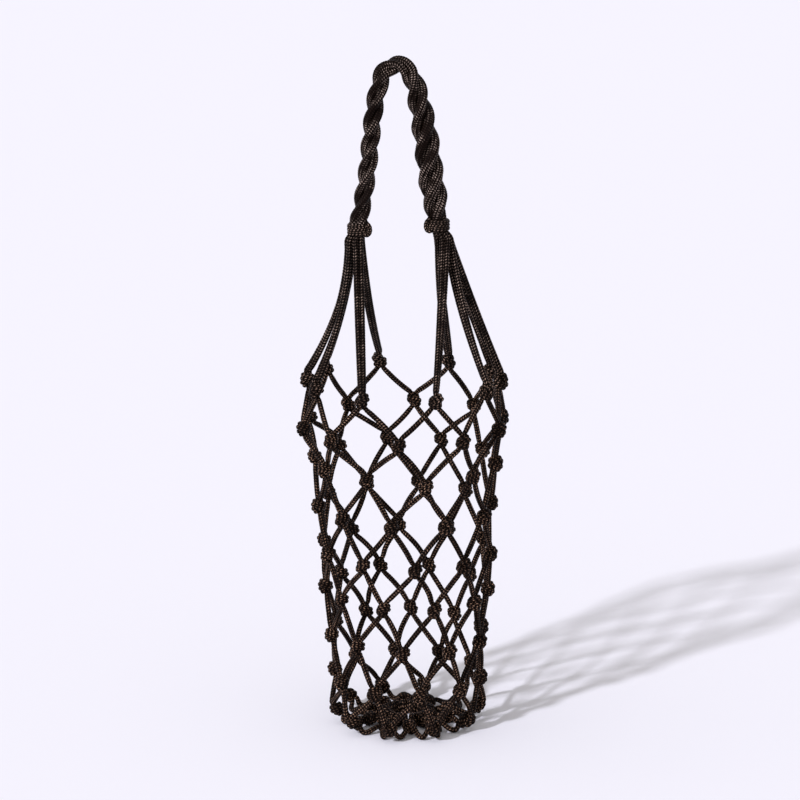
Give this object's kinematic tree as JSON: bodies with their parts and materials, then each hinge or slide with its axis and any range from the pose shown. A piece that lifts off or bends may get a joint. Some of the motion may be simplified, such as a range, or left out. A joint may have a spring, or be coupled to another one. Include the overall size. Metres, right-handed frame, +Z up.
{
  "type": "cup holder bag",
  "caption": "Knotted dark brown cord net bag for a drinking cup, gathered into two bundles under a twisted rope handle.",
  "frame": {"origin": "on the ground under the middle of the net", "axes": "+Z up towards the handle, -Y towards the front, +X to the right seen from the front, along the line between the two cord bundles"},
  "size_m": [0.1031, 0.1047, 0.3274],
  "materials": {
    "net_cord": "satin",
    "handle_cord": "satin",
    "whipping_cord": "satin"
  },
  "bodies": {
    "net": {"net_cord_01_left": "net_cord", "net_cord_01_right": "net_cord", "net_cord_02_left": "net_cord", "net_cord_02_right": "net_cord", "net_cord_03_left": "net_cord", "net_cord_03_right": "net_cord", "net_cord_04_left": "net_cord", "net_cord_04_right": "net_cord", "net_cord_05_left": "net_cord", "net_cord_05_right": "net_cord", "net_cord_06_left": "net_cord", "net_cord_06_right": "net_cord", "net_cord_07_left": "net_cord", "net_cord_07_right": "net_cord", "net_cord_08_left": "net_cord", "net_cord_08_right": "net_cord", "net_cord_09_left": "net_cord", "net_cord_09_right": "net_cord", "net_cord_10_left": "net_cord", "net_cord_10_right": "net_cord", "base_ring": "net_cord", "left_whipping": "whipping_cord", "right_whipping": "whipping_cord"},
    "handle": {"handle_ply_1": "handle_cord", "handle_ply_2": "handle_cord", "handle_ply_3": "handle_cord"}
  },
  "joints": [
    {"name": "handle_tilt", "type": "hinge", "parent": "net", "child": "handle", "pos_m": [0, 0, 0.2561], "axis": [1, 0, 0], "range_deg": [-90, 90]}
  ]
}
